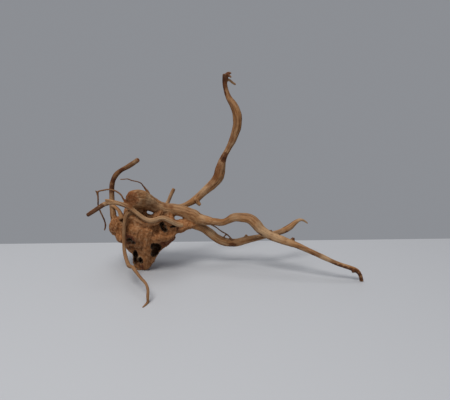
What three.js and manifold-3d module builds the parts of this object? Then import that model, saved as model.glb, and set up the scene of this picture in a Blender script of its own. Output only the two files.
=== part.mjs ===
// A dry root: one piece of peeled, sun-dried root wood. A gnarled burl narrows downwards to a worn
// foot, and long wandering limbs leave its top. It grew as one piece, so it is one solid, one mesh.
//
// Millimetres, +Z up. The origin is the middle of the worn flat under the burl's foot, +X runs along
// the longest limb, and -Y is the side that the burl shows to the front.
import * as THREE from "three";
import { mergeVertices } from "three/addons/utils/BufferGeometryUtils.js";
import Module from "manifold-3d";

const wasm = await Module();
wasm.setup();

// ---------------------------------------------------------------- driving dimensions
const SKIN_COLOUR = 0xa98a66; // peeled root wood, pale tan
const SKIN_ROUGHNESS = 0.78;
const LIMB_STEP = 8; // distance between the rings of a limb, at most
const STRAND_STEP = 11; // the same for the strands that run over the burl
const STOUT = 5; // a limb at least this thick in radius gets the most sides
const STOUT_SIDES = 10;
const LIMB_SIDES = 8;
const HAIR = 2.7; // a limb at most this thick in radius is a hair root, with the fewest sides
const HAIR_SIDES = 6;
const CORE_SIDES = 24;
const CORE_RINGS = 16;
const LUMP_DETAIL = 2; // how finely a lump is divided
const HOLLOW_DETAIL = 1;
const FLOOR_SPAN = 1200; // the block that cuts the feet flat at z = 0
const FLOOR_DEPTH = 100;

// ---------------------------------------------------------------- limbs
// Each limb is a route of points [x, y, z, radius] down the middle of the wood, from where it leaves
// the root to its tip. Neighbouring limbs start inside each other, so that they join as one piece.
const LIMBS = {
  // The old trunk: sawn off at its near end, it runs over the burl and forks into two arms.
  trunk: [
    [-2, -46, 129, 8], [-1, -43.5, 129, 12], [6, -30, 125, 13.5], [14, -17, 118, 12.5],
    [24, -6, 108, 11], [39, 1, 100, 9.5], [57, 4, 97.5, 9.2], [66, 4, 96, 9], [76, 3, 92, 9.5],
    [86, 2, 88, 10], [94, 0, 84, 9], [112, -4, 81, 6.5],
  ],
  // The longest limb, with one high hump, comes down to the ground at its tip.
  upper_arm: [
    [91, -1, 83, 7.5], [112, -4, 81, 6], [129, -7, 80, 5.5], [139, -10, 84, 5.5], [149, -13, 90, 6.5],
    [163, -16, 91, 7], [174, -18, 89, 7.5], [183, -20, 82, 8], [191, -22, 73, 7.5], [205, -25, 65, 6.5],
    [220, -30, 60, 6.5], [234, -34, 56, 5.5], [248, -38, 52, 4.5], [265, -42, 45, 4], [280, -45, 39, 4],
    [296, -48, 32, 3.5], [312, -50, 26, 3.5], [325, -51, 22, 3.5], [335, -52, 18, 3.5],
    [341, -52, 11, 3], [345, -51, -2, 3],
  ],
  // The second arm sags under the first, passes behind it and lifts its hooked tip.
  lower_arm: [
    [73, 2, 78, 6.5], [90, 4, 71, 7], [102, 7, 65, 6.5], [113, 10, 55, 7], [125, 13, 45, 7],
    [140, 15, 39, 7], [155, 15, 39, 6.5], [171, 13, 44, 6], [187, 9, 49, 5], [203, 9, 53, 4.5],
    [220, 13, 56, 4.5], [232, 17, 59, 5], [242, 20, 64, 5], [250, 23, 70, 4], [257, 25, 74, 2.8],
    [264, 27, 73, 2], [272, 29, 67, 1.2],
  ],
  // The tallest limb leaves the back of the trunk, swells at its elbow and snakes upwards.
  upright: [
    [28, 8, 99, 6.5], [47, 17, 98, 4], [64, 24, 98, 3.8], [77, 28, 102, 5], [89, 32, 109, 6],
    [103, 36, 121, 6.5], [116, 38, 132, 7.5], [124, 38, 143, 8.5], [128, 37, 158, 8], [133, 36, 175, 5.5],
    [140, 35, 189, 4.5], [147, 33, 203, 5.5], [152, 31, 217, 6.5], [155, 30, 233, 7], [153, 30, 249, 7],
    [148, 31, 260, 6], [141, 32, 271, 4.5], [137, 33, 282, 3.8], [135, 34, 294, 3.8], [136, 35, 306, 4.5],
  ],
  upright_spur: [[88, 30, 108, 5], [91, 28, 103, 3.6], [95, 27, 98.5, 2.6]],
  frayed_tip_a: [[135, 35, 302, 2.6], [140, 36, 308, 1.6], [145, 37, 307, 1]],
  frayed_tip_b: [[136, 34, 301, 2.4], [141, 33, 304, 1.4], [145, 32, 301, 1]],
  frayed_tip_c: [[136, 35, 297, 2.2], [142, 37, 297, 1.5], [147, 39, 293, 1.5], [152, 41, 290, 1.2]],
  // The left limb climbs from the burl's shoulder and bends over to a sawn end.
  left_limb: [
    [-33, 2, 54, 7], [-38, 4, 66, 7], [-43, 8, 84, 5.5], [-45, 11, 102, 4.5], [-45, 12, 118, 4],
    [-44, 12, 133, 4], [-41, 11, 144, 4], [-35, 8, 154, 4], [-27, 5, 161, 3.6], [-16, 2, 167, 3.6],
    [-7, -2, 173, 3.8], [3, -6, 180, 3.5],
  ],
  left_brace: [[-44, 8, 104, 3], [-37, 2, 101.5, 2.7], [-31, -3, 97, 3], [-26, -8, 86, 5]],
  // A pale root lies across the front of the burl, free at both ends.
  strap: [
    [-72, -38, 101, 3], [-63, -39, 107, 3.5], [-54, -40, 113, 3.5], [-45, -41, 119, 3.5],
    [-34, -42, 122, 3.5], [-23, -43, 121, 3.5], [-12, -43, 117, 3.2], [-2, -43, 111, 3.2],
    [6, -43, 104, 3.3], [14, -42, 97.5, 3.4], [22, -41, 94, 3.5], [30, -40, 94.5, 3.5],
    [38, -39, 97, 3.5], [44, -38, 96.5, 3.7], [52, -36, 92, 3.6], [61, -33, 86, 3.5], [71, -31, 83, 3.4],
  ],
  strap_spur: [[-26, -43, 123, 2.2], [-35, -43, 126, 1.6], [-43, -43, 127, 1]],
  // Hair roots.
  whisker: [
    [2, -20, 101, 3], [8, -25, 104, 2.4], [4, -28, 107, 2], [-3, -33, 113, 1.8], [-11, -37, 120, 1.8],
    [-16, -38, 126, 1.6], [-20, -37, 133, 1.4], [-28, -35, 138, 1.4], [-38, -33, 140, 1.3],
    [-48, -31, 138, 1.3], [-55, -30, 136, 1.3], [-57, -30, 131, 1.4],
  ],
  whisker_drop: [
    [-56, -30, 135, 1.3], [-56, -30, 124, 1.4], [-57, -28, 114, 1.4], [-55, -26, 104, 1.4],
    [-52, -26, 96, 1.4], [-49, -27, 88, 1.4], [-48, -28, 81, 1.4], [-50, -29, 74, 1.2],
  ],
  whisker_nub: [[-56, -30, 132, 1.3], [-59, -31, 138, 1]],
  feeler: [
    [18, -8, 120, 3], [16, -6, 128, 2.4], [13, -6, 133, 1.8], [9, -7, 139, 1.2], [6, -9, 144, 1.1], [0, -11, 147, 1.1],
    [-7, -13, 149, 1.1], [-13, -15, 152, 1.1], [-19, -17, 152, 1.1], [-24, -18, 152, 1],
  ],
  spike: [[38, 10, 96, 4], [44, 18, 108, 3.1], [48, 22, 117, 3], [53, 26, 127, 2.9]],
  // The front leg hangs from the burl's brow, bends at its knee and reaches the ground in front.
  front_leg: [
    [2, -24, 99, 4.5], [-7, -37, 105.5, 3.5], [-11, -40, 105, 3], [-14, -41, 99, 2.7], [-16, -42, 90, 2.7],
    [-17, -42, 79, 2.7], [-18, -42, 66, 2.7], [-18, -44, 54, 2.7], [-16, -49, 43, 2.8], [-12, -57, 35, 3],
    [-8, -66, 32, 3.2], [-3, -76, 34, 2.9], [2, -84, 36, 2.8], [8, -93, 33, 2.5], [16, -103, 28, 2.3],
    [24, -112, 24, 2.2], [28, -119, 18, 2.2], [28, -123, 9, 2.2], [28, -125, 1.4, 2], [26, -132, 1, 1.6],
    [23, -139, 0.4, 1.1],
  ],
  thread: [[111, 0, 76, 2], [121, 5, 68, 1.2], [130, 8, 60, 1.2], [139, 10, 54, 1.2], [147, 13, 44, 1.6]],
  thread_fork: [[139, 10, 54, 1.2], [135, 11, 52, 1.2], [133, 13, 44, 1.4]],
  // Stubs of broken side shoots.
  arm_thorn: [[208, -24, 66, 2.4], [207, -22, 73, 1]],
  arm_nub: [[234, -34, 55, 5.5], [239, -31, 59, 3.4], [241, -29, 62.5, 2.2]],
  low_nub: [[168, 14, 45, 3.4], [170, 14, 53, 1.4]],
  tip_knob: [[330, -52, 20, 3.2], [331, -54, 15, 2.6]],
};

// Strands tie the trunk to the burl and run down over it to the foot, written the same way.
const STRANDS = {
  fork_strut: [[36, -6, 69, 10], [51, -5, 71, 10.5], [64, -3, 72, 10.5], [75, 0, 75, 9.5], [90, 3, 79, 8]],
  left_strut: [[10, -20, 118, 9], [0, -20, 111, 11], [-7, -18, 99, 14], [-9, -14, 84, 14]],
  right_strut: [[33, -4, 101, 7.5], [31, -8, 92, 7.5], [32, -10, 80, 10], [30, -10, 68, 12]],
  middle_strut: [[47, 2, 98, 7], [48, -1, 88, 8], [48, -4, 74, 9]],
  brow: [
    [-9, -32, 100, 6], [5, -34, 92, 6], [20, -36, 88.5, 5.5], [34, -33, 90, 5], [48, -27, 87, 5],
    [57, -20, 79, 6],
  ],
  eye_rim: [[55, -19, 79, 6], [54, -21, 68, 6], [44, -27, 62, 6.5], [33, -31, 66, 6]],
  front_ridge: [
    [20, -35, 79, 7], [15, -31, 62, 7], [14, -25, 44, 7], [12, -18, 26, 6.5], [8, -8, 8, 6], [4, -2, -3, 3],
  ],
  left_column: [[-12, -30, 96, 5], [-15, -32, 80, 5], [-16, -29, 62, 5], [-16, -22, 47, 4.5], [-12, -16, 36, 4]],
  right_flank: [
    [53, -10, 59, 6], [43, -8, 48, 5.5], [31, -6, 36, 5], [21, -5, 24, 5], [12, -3, 10, 5.5],
    [5, -2, -3, 3],
  ],
  toe_strand: [[-13, -17, 40, 3], [-9, -16, 31, 2.6], [-10, -13, 19, 2.6], [-6, -9, 8, 4], [-2, -5, -3, 3]],
  toe_cross: [[-10, -14, 14, 2.5], [-3, -17, 24, 2.2], [4, -18, 31, 3]],
  back_ridge: [[-26, 20, 80, 7], [-22, 30, 64, 7], [-10, 27, 42, 7], [-2, 14, 16, 7], [1, 7, -3, 5]],
  back_flank: [[42, 20, 76, 8], [32, 29, 60, 7], [19, 22, 38, 7], [8, 12, 14, 7], [4, 5, -3, 5]],
};

// ---------------------------------------------------------------- burl
// The burl's core is a stack of ovals, each [height, middle x, middle y, radius x, radius y].
const CORE = [
  [-6, 2, 0, 10, 12], [6, 2, 0, 11.5, 14], [18, 4, -1, 14.5, 17], [27, 7, -1, 18.5, 20], [36, 6, -1, 28, 25],
  [45, 6, 0, 35, 30], [54, 7, 0, 41, 33], [63, 7, 0, 43, 35], [72, 6, 0, 40, 34], [79, 4, 0, 34, 29],
  [83, 3, 0, 22, 18],
];
// The core bulges by `rise` around each of these places, fading out over `reach`.
const BULGES = [
  { at: [2, -38, 77], reach: 17, rise: 7 },
  { at: [28, -36, 62], reach: 12, rise: 4 },
  { at: [-26, -20, 58], reach: 14, rise: 5 },
  { at: [-8, 36, 68], reach: 18, rise: 9 },
  { at: [34, 28, 70], reach: 15, rise: 6 },
  { at: [14, 22, 26], reach: 12, rise: 4 },
];
// Lumps on the core, each an ellipsoid: its middle and its radii along X, Y and Z.
const LUMPS = {
  left_knob: { at: [-35, 2, 71], radii: [16, 19, 16.5] },
  left_chin: { at: [-29, -6, 61], radii: [12, 17, 11] },
  strut_web: { at: [26, -13, 90], radii: [7, 8, 9] },
};
// Rotted-out hollows, written the same way.
const HOLLOWS = {
  eye: { at: [42, -32, 79.5], radii: [5.5, 20, 7.5] },
  mouth: { at: [28, -22, 41], radii: [10, 18, 13] },
  toe_gap: { at: [-8, -14, 25], radii: [2.6, 14, 8] },
  toe_slot: { at: [1, -16, 18], radii: [3, 10, 5.5] },
  pit: { at: [-10, -32, 59], radii: [4, 12, 4.5] },
  back_hollow: { at: [6, 40, 48], radii: [8, 15, 10] },
};

// ---------------------------------------------------------------- solids
// A closed three.js geometry as a manifold solid.
function solidOf(geometry) {
  const bare = new THREE.BufferGeometry();
  bare.setAttribute("position", geometry.getAttribute("position"));
  bare.setIndex(geometry.index);
  const merged = mergeVertices(bare, 1e-4);
  return new wasm.Manifold(
    new wasm.Mesh({
      numProp: 3,
      vertProperties: merged.getAttribute("position").array,
      triVerts: new Uint32Array(merged.index.array),
    }),
  );
}

// The radius at t, where t runs from 0 to 1 over the route's points.
function radiusAt(route, t) {
  const place = t * (route.length - 1);
  const before = Math.min(Math.floor(place), route.length - 2);
  return THREE.MathUtils.lerp(route[before][3], route[before + 1][3], place - before);
}

function sidesOf(thickest) {
  if (thickest >= STOUT) {
    return STOUT_SIDES;
  }
  return thickest > HAIR ? LIMB_SIDES : HAIR_SIDES;
}

// A limb is a lathe of its taper, bent along its route: ring i of the lathe stands at height i.
function limbSolid(route, step) {
  const points = route.map(([x, y, z]) => new THREE.Vector3(x, y, z));
  const curve = new THREE.CatmullRomCurve3(points);
  const rings = Math.max(2, Math.ceil(curve.getLength() / step));
  const radii = Array.from({ length: rings + 1 }, (_, i) => radiusAt(route, curve.getUtoTmapping(i / rings)));
  const profile = radii.map((radius, i) => new THREE.Vector2(radius, i));
  profile.unshift(new THREE.Vector2(0, 0));
  profile.push(new THREE.Vector2(0, rings));
  const geometry = new THREE.LatheGeometry(profile, sidesOf(Math.max(...radii)));
  const frames = curve.computeFrenetFrames(rings);
  const middles = Array.from({ length: rings + 1 }, (_, i) => curve.getPointAt(i / rings));
  const position = geometry.getAttribute("position");
  for (let n = 0; n < position.count; n++) {
    const ring = Math.round(position.getY(n));
    const bent = middles[ring].clone();
    bent.addScaledVector(frames.binormals[ring], position.getX(n));
    bent.addScaledVector(frames.normals[ring], position.getZ(n));
    position.setXYZ(n, bent.x, bent.y, bent.z);
  }
  return solidOf(geometry);
}

// A lump or a hollow is a sphere stretched to its three radii.
function lumpSolid({ at, radii }, detail) {
  const geometry = new THREE.IcosahedronGeometry(1, detail);
  geometry.scale(...radii);
  geometry.translate(...at);
  return solidOf(geometry);
}

// How far the core's skin bulges at a point.
function bulgeAt(point) {
  return BULGES.reduce((sum, { at, reach, rise }) => {
    const away = point.distanceTo(new THREE.Vector3(...at)) / reach;
    return sum + rise * Math.exp(-away * away);
  }, 0);
}

// The core is a lathe whose rings are stretched to ovals, moved to their middles and then bulged.
function coreSolid() {
  const middles = new THREE.CatmullRomCurve3(CORE.map(([z, x, y]) => new THREE.Vector3(x, y, z)));
  const ovals = new THREE.CatmullRomCurve3(CORE.map(([, , , x, y]) => new THREE.Vector3(x, y, 0)));
  const profile = Array.from({ length: CORE_RINGS + 1 }, (_, i) => new THREE.Vector2(1, i));
  profile.unshift(new THREE.Vector2(0, 0));
  profile.push(new THREE.Vector2(0, CORE_RINGS));
  const geometry = new THREE.LatheGeometry(profile, CORE_SIDES);
  const position = geometry.getAttribute("position");
  for (let n = 0; n < position.count; n++) {
    const along = position.getY(n) / CORE_RINGS;
    const middle = middles.getPoint(along);
    const oval = ovals.getPoint(along);
    const outward = new THREE.Vector3(oval.x * position.getZ(n), oval.y * position.getX(n), 0);
    const point = middle.clone().add(outward);
    point.addScaledVector(outward.normalize(), bulgeAt(point));
    position.setXYZ(n, point.x, point.y, point.z);
  }
  return solidOf(geometry);
}

// Everything below z = 0, where the foot and the tips are worn flat.
function floorSolid() {
  const geometry = new THREE.BoxGeometry(FLOOR_SPAN, FLOOR_SPAN, FLOOR_DEPTH);
  geometry.translate(0, 0, -FLOOR_DEPTH / 2);
  return solidOf(geometry);
}

function rootSolid() {
  const wood = [
    coreSolid(),
    ...Object.values(LIMBS).map((route) => limbSolid(route, LIMB_STEP)),
    ...Object.values(STRANDS).map((route) => limbSolid(route, STRAND_STEP)),
    ...Object.values(LUMPS).map((lump) => lumpSolid(lump, LUMP_DETAIL)),
  ].reduce((joined, piece) => joined.add(piece));
  const carved = Object.values(HOLLOWS).reduce(
    (left, hollow) => left.subtract(lumpSolid(hollow, HOLLOW_DETAIL)),
    wood,
  );
  return carved.subtract(floorSolid());
}

// ---------------------------------------------------------------- mesh
function geometryOf(solid) {
  const mesh = solid.getMesh();
  const geometry = new THREE.BufferGeometry();
  geometry.setAttribute("position", new THREE.BufferAttribute(mesh.vertProperties, 3));
  geometry.setIndex(new THREE.BufferAttribute(mesh.triVerts, 1));
  geometry.computeVertexNormals();
  return geometry;
}

const wood = new THREE.MeshStandardMaterial({
  color: SKIN_COLOUR,
  roughness: SKIN_ROUGHNESS,
  metalness: 0,
});
const dryRoot = new THREE.Mesh(geometryOf(rootSolid()), wood);
dryRoot.name = "dry_root";

const root = new THREE.Group();
root.add(dryRoot);

export default root;
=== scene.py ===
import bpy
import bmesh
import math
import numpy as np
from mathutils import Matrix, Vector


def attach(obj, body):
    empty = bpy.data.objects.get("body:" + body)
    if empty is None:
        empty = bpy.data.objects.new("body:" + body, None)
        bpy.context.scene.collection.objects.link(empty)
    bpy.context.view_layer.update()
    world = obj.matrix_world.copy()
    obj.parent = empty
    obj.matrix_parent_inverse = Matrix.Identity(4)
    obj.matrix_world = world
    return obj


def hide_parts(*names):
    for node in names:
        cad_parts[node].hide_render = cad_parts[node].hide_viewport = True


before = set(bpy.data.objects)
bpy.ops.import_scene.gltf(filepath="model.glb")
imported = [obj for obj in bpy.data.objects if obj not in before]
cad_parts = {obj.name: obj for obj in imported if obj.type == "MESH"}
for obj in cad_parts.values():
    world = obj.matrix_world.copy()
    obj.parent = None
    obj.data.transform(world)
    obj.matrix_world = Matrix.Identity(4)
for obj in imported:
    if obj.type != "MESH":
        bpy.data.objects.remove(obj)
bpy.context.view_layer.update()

# %% [markdown]
# # A dry root
#
# The object is one piece of peeled and dried root wood. A gnarled burl narrows to a small worn foot, a
# sawn trunk lies over it, and long limbs wander off: two arms that cross, one tall upright, a left
# limb, a pale strap across the front, and hair roots as thin as string. It grew in one piece, so it
# is made here as one continuous skin.
#
# Such a shape can be sculpted, or put together from tubes that simply poke into each other. Sculpting
# can't be written down in a script, and tubes that only cross leave hard seams where real wood flows
# together. So the limbs are swept tubes and the burl is a heap of lumps, and both are then turned into
# a distance field, where neighbouring wood can be fused with a soft fillet. The skin is drawn from it.

MM = 0.001

# %% [markdown]
# ## The limbs
#
# Each limb is a route of points down the middle of the wood, with the wood's radius at each point. The
# points are placed where the limb bends or swells, about one thumb's width apart, which is
# close enough for a smooth curve and few enough to read. All numbers are in millimetres.

# %% Routes of the limbs: (x, y, z, radius)
LIMBS = {
    "trunk": [(-2, -46, 129, 8), (-1, -43.5, 129, 12), (6, -30, 125, 13.5),
        (14, -17, 118, 12.5), (24, -6, 108, 11), (39, 1, 100, 9.5), (57, 4, 97.5, 9.2),
        (66, 4, 96, 9), (76, 3, 92, 9.5), (86, 2, 88, 10),
        (94, 0, 84, 9), (112, -4, 81, 6.5)],
    "upper_arm": [(91, -1, 83, 7.5), (112, -4, 81, 6), (129, -7, 80, 5.5), (139, -10, 84, 5.5),
        (149, -13, 90, 6.5), (163, -16, 91, 7), (174, -18, 89, 7.5), (183, -20, 82, 8),
        (191, -22, 73, 7.5), (205, -25, 65, 6.5), (220, -30, 60, 6.5), (234, -34, 56, 5.5),
        (248, -38, 52, 4.5), (265, -42, 45, 4), (280, -45, 39, 4), (296, -48, 32, 3.5),
        (312, -50, 26, 3.5), (325, -51, 22, 3.5), (335, -52, 18, 3.5), (341, -52, 11, 3),
        (345, -51, -2, 3)],
    "lower_arm": [(73, 2, 78, 6.5), (90, 4, 71, 7), (102, 7, 65, 6.5), (113, 10, 55, 7),
        (125, 13, 45, 7), (140, 15, 39, 7), (155, 15, 39, 6.5), (171, 13, 44, 6),
        (187, 9, 49, 5), (203, 9, 53, 4.5), (220, 13, 56, 4.5), (232, 17, 59, 5),
        (242, 20, 64, 5), (250, 23, 70, 4), (257, 25, 74, 2.8), (264, 27, 73, 2),
        (272, 29, 67, 1.2)],
    "upright": [(28, 8, 99, 6.5), (47, 17, 98, 4), (64, 24, 98, 3.8), (77, 28, 102, 5),
        (89, 32, 109, 6), (103, 36, 121, 6.5), (116, 38, 132, 7.5), (124, 38, 143, 8.5),
        (128, 37, 158, 8), (133, 36, 175, 5.5), (140, 35, 189, 4.5), (147, 33, 203, 5.5),
        (152, 31, 217, 6.5), (155, 30, 233, 7), (153, 30, 249, 7), (148, 31, 260, 6),
        (141, 32, 271, 4.5), (137, 33, 282, 3.8), (135, 34, 294, 3.8), (136, 35, 306, 4.5)],
    "upright_spur": [(88, 30, 108, 5), (91, 28, 103, 3.6), (95, 27, 98.5, 2.6)],
    "frayed_tip_a": [(135, 35, 302, 2.6), (140, 36, 308, 1.9), (145, 37, 307, 1.4)],
    "frayed_tip_b": [(136, 34, 301, 2.4), (141, 33, 304, 1.8), (145, 32, 301, 1.4)],
    "frayed_tip_c": [(136, 35, 297, 2.4), (142, 37, 297, 1.9), (147, 39, 293, 1.9),
        (152, 41, 290, 1.6)],
    "left_limb": [(-33, 2, 54, 7), (-38, 4, 66, 7), (-43, 8, 84, 5.5), (-45, 11, 102, 4.5),
        (-45, 12, 118, 4), (-44, 12, 133, 4), (-41, 11, 144, 4), (-35, 8, 154, 4),
        (-27, 5, 161, 3.6), (-16, 2, 167, 3.6), (-7, -2, 173, 3.8), (3, -6, 180, 3.5)],
    "left_brace": [(-44, 8, 104, 3), (-37, 2, 101.5, 2.7), (-31, -3, 97, 3), (-26, -8, 86, 5)],
    "strap": [(-72, -38, 101, 3), (-63, -39, 107, 3.5), (-54, -40, 113, 3.5),
        (-45, -41, 119, 3.5), (-34, -42, 122, 3.5), (-23, -43, 121, 3.5), (-12, -43, 117, 3.2),
        (-2, -43, 111, 3.2), (6, -43, 104, 3.3), (14, -42, 97.5, 3.4), (22, -41, 94, 3.5),
        (30, -40, 94.5, 3.5), (38, -39, 97, 3.5), (44, -38, 96.5, 3.7), (52, -36, 92, 3.6),
        (61, -33, 86, 3.5), (71, -31, 83, 3.4)],
    "strap_spur": [(-26, -43, 123, 2.2), (-35, -43, 126, 1.6), (-43, -43, 127, 1)],
    "whisker": [(2, -20, 101, 3), (8, -25, 104, 2.4), (4, -28, 107, 2), (-3, -33, 113, 1.8),
        (-11, -37, 120, 1.8), (-16, -38, 126, 1.6), (-20, -37, 133, 1.4), (-28, -35, 138, 1.4),
        (-38, -33, 140, 1.3), (-48, -31, 138, 1.3), (-55, -30, 136, 1.3), (-57, -30, 131, 1.4)],
    "whisker_drop": [(-56, -30, 135, 1.3), (-56, -30, 124, 1.4), (-57, -28, 114, 1.4),
        (-55, -26, 104, 1.4), (-52, -26, 96, 1.4), (-49, -27, 88, 1.4), (-48, -28, 81, 1.4),
        (-50, -29, 74, 1.2)],
    "whisker_nub": [(-56, -30, 132, 1.3), (-59, -31, 138, 1)],
    "feeler": [(18, -8, 120, 3), (16, -6, 128, 2.4), (13, -6, 133, 1.8), (9, -7, 139, 1.2),
        (6, -9, 144, 1.1), (0, -11, 147, 1.1), (-7, -13, 149, 1.1), (-13, -15, 152, 1.1),
        (-19, -17, 152, 1.1), (-24, -18, 152, 1)],
    "spike": [(38, 10, 96, 4), (44, 18, 108, 3.1), (48, 22, 117, 3), (53, 26, 127, 2.9)],
    "front_leg": [(2, -24, 99, 4.5), (-7, -37, 105.5, 3.5), (-11, -40, 105, 3),
        (-14, -41, 99, 2.7), (-16, -42, 90, 2.7), (-17, -42, 79, 2.7), (-18, -42, 66, 2.7),
        (-18, -44, 54, 2.7), (-16, -49, 43, 2.8), (-12, -57, 35, 3), (-8, -66, 32, 3.2),
        (-3, -76, 34, 2.9), (2, -84, 36, 2.8), (8, -93, 33, 2.5), (16, -103, 28, 2.3),
        (24, -112, 24, 2.2), (28, -119, 18, 2.2), (28, -123, 9, 2.2), (28, -125, 1.4, 2),
        (26, -132, 1, 1.6), (23, -139, 0.4, 1.1)],
    "thread": [(111, 0, 76, 2), (121, 5, 68, 1.2), (130, 8, 60, 1.2), (139, 10, 54, 1.2),
        (147, 13, 44, 1.6)],
    "thread_fork": [(139, 10, 54, 1.2), (135, 11, 52, 1.2), (133, 13, 44, 1.4)],
    "arm_thorn": [(208, -24, 66, 2.4), (207, -22, 73, 1)],
    "arm_nub": [(234, -34, 55, 5.5), (239, -31, 59, 3.4), (241, -29, 62.5, 2.2)],
    "low_nub": [(168, 14, 45, 3.4), (170, 14, 53, 1.4)],
    "tip_knob": [(330, -52, 20, 3.2), (331, -54, 15, 2.6)],
}
print("limbs:", len(LIMBS))

# %% [markdown]
# ## The burl
#
# The burl is where all the roots once met. Its strands run from the trunk down to the foot like the
# fingers of a hand, and swollen lumps of wood fill the space between them. Strands are routes, as the
# limbs are. Lumps are ellipsoids, and so are the hollows that rot has eaten out of them.

# %% Routes of the strands
STRANDS = {
    "fork_strut": [(36, -6, 69, 10), (51, -5, 71, 10.5), (64, -3, 72, 10.5), (75, 0, 75, 9.5),
        (90, 3, 79, 8)],
    "left_strut": [(10, -20, 118, 9), (0, -20, 111, 11), (-7, -18, 99, 14), (-9, -14, 84, 14)],
    "right_strut": [(33, -4, 101, 7.5), (31, -8, 92, 7.5), (32, -10, 80, 10), (30, -10, 68, 12)],
    "middle_strut": [(47, 2, 98, 7), (48, -1, 88, 8), (48, -4, 74, 9)],
    "brow": [(-9, -32, 100, 6), (5, -34, 92, 6), (20, -36, 88.5, 5.5), (34, -33, 90, 5),
        (48, -27, 87, 5), (57, -20, 79, 6)],
    "eye_rim": [(55, -19, 79, 6), (54, -21, 68, 6), (44, -27, 62, 6.5), (33, -31, 66, 6)],
    "front_ridge": [(20, -35, 79, 7), (15, -31, 62, 7), (14, -25, 44, 7), (12, -18, 26, 6.5),
        (8, -8, 8, 6), (4, -2, -3, 3)],
    "left_column": [(-12, -30, 96, 5), (-15, -32, 80, 5), (-16, -29, 62, 5), (-16, -22, 47, 4.5),
        (-12, -16, 36, 4)],
    "right_flank": [(53, -10, 59, 6), (43, -8, 48, 5.5), (31, -6, 36, 5), (21, -5, 24, 5),
        (12, -3, 10, 5.5), (5, -2, -3, 3)],
    "toe_strand": [(-13, -17, 40, 3), (-9, -16, 31, 2.6), (-10, -13, 19, 2.6), (-6, -9, 8, 4),
        (-2, -5, -3, 3)],
    "toe_cross": [(-10, -14, 14, 2.5), (-3, -17, 24, 2.2), (4, -18, 31, 3)],
    "back_ridge": [(-26, 20, 80, 7), (-22, 30, 64, 7), (-10, 27, 42, 7), (-2, 14, 16, 7),
        (1, 7, -3, 5)],
    "back_flank": [(42, 20, 76, 8), (32, 29, 60, 7), (19, 22, 38, 7), (8, 12, 14, 7),
        (4, 5, -3, 5)],
}
print("strands:", len(STRANDS))

# %% Lumps of the burl: (x, y, z), (radius x, radius y, radius z)
LUMPS = [
    ((5, 0, 70), (38, 33, 13)),  # the wide top
    ((6, -2, 55), (36, 30, 16)),
    ((6, -1, 40), (24, 22, 18)),
    ((4, 0, 20), (13, 16, 24)),  # the foot
    ((-1, 6, 24), (13.5, 13, 22)),
    ((2, -22, 78), (19, 20, 14)),  # the smooth front face
    ((26, -18, 62), (16, 18, 13)),
    ((44, -8, 66), (12, 14, 12)),
    ((-35, 2, 71), (15, 18, 16)),  # the crinkled knob on the left
    ((-26, -8, 58), (12, 15, 12)),
    ((-8, 28, 66), (20, 15, 17)),
    ((32, 20, 68), (17, 17, 15)),
    ((6, -24, 72), (24, 16, 20)),
    ((42, -20, 76), (13, 13, 12)),  # around the eye
    ((17, -10, 25), (8, 9, 13)),
    ((27, -13, 89), (6, 8, 8)),  # between the trunk's struts
    ((7, -18, 95), (6, 8, 5)),
    ((9, -16, 99), (5, 7, 6)),
    ((14, -15, 92.5), (6, 7, 4)),
]
HOLLOWS = [
    ((39.5, -32, 84), (3.5, 17, 5)),  # the eye under the strap
    ((41.5, -30, 79.5), (3.7, 18, 5)),
    ((44, -29, 76), (2.7, 15, 3.2)),
    ((57, -26, 80), (6, 3.5, 1.3)),  # a crack beside it
    ((26, -22, 47), (5.5, 22, 8)),  # the mouth on the lower right
    ((28, -20, 40), (5.8, 20, 7)),
    ((24.5, -18, 33), (4.8, 18, 7)),
    ((-6, -20, 30), (3.3, 14, 7.5)),  # the slots between the toes
    ((-6.5, -18, 21), (2.8, 12, 6)),
    ((1.5, -20, 20), (3, 12, 5.5)),
    ((-11, -36, 60), (3.6, 8, 3)),  # the pit beside the leg
    ((-6, -34, 54.5), (2.8, 7, 2.4)),
    ((6, 40, 48), (8, 15, 10)),  # on the back
]


def ball_mesh(name, balls):
    """Ellipsoids as one mesh, each a stretched ball of its own."""
    shape = bmesh.new()
    for middle, radii in balls:
        made = bmesh.ops.create_icosphere(shape, subdivisions=4, radius=1)
        for vertex in made["verts"]:
            vertex.co = [(m + r * c) * MM for m, r, c in zip(middle, radii, vertex.co)]
    mesh = bpy.data.meshes.new(name)
    shape.to_mesh(mesh)
    shape.free()
    return mesh


lump_mesh = ball_mesh("burl_lumps", LUMPS)
hollow_mesh = ball_mesh("rotted_hollows", HOLLOWS)
print("lumps:", len(LUMPS), "hollows:", len(HOLLOWS))


# %% A route as a line of points
def route_mesh(name, routes):
    """All routes as one mesh of edges, with the wood's radius stored at each point."""
    points, edges, thickness = [], [], []
    for route in routes.values():
        edges += [(len(points) + i, len(points) + i + 1) for i in range(len(route) - 1)]
        points += [(x * MM, y * MM, z * MM) for x, y, z, radius in route]
        thickness += [radius * MM for x, y, z, radius in route]
    mesh = bpy.data.meshes.new(name)
    mesh.from_pydata(points, edges, [])
    mesh.attributes.new("thickness", "FLOAT", "POINT").data.foreach_set("value", thickness)
    return mesh


limb_routes = route_mesh("limb_routes", LIMBS)
strand_routes = route_mesh("strand_routes", STRANDS)
print("route points:", len(limb_routes.vertices), "and", len(strand_routes.vertices))

# %% [markdown]
# ## Growing the wood with Geometry Nodes
#
# A limb follows its route, so Geometry Nodes sweep a circle along it, as wide as the wood is at each
# point. A second group does the fusing. It turns a mesh into a distance field, draws the skin a little
# too far out, where neighbours run together, and then draws it back in by the same amount. Outward
# corners come back as they were. Inward corners stay filled with a fillet, as wood fills a crotch.


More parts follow.
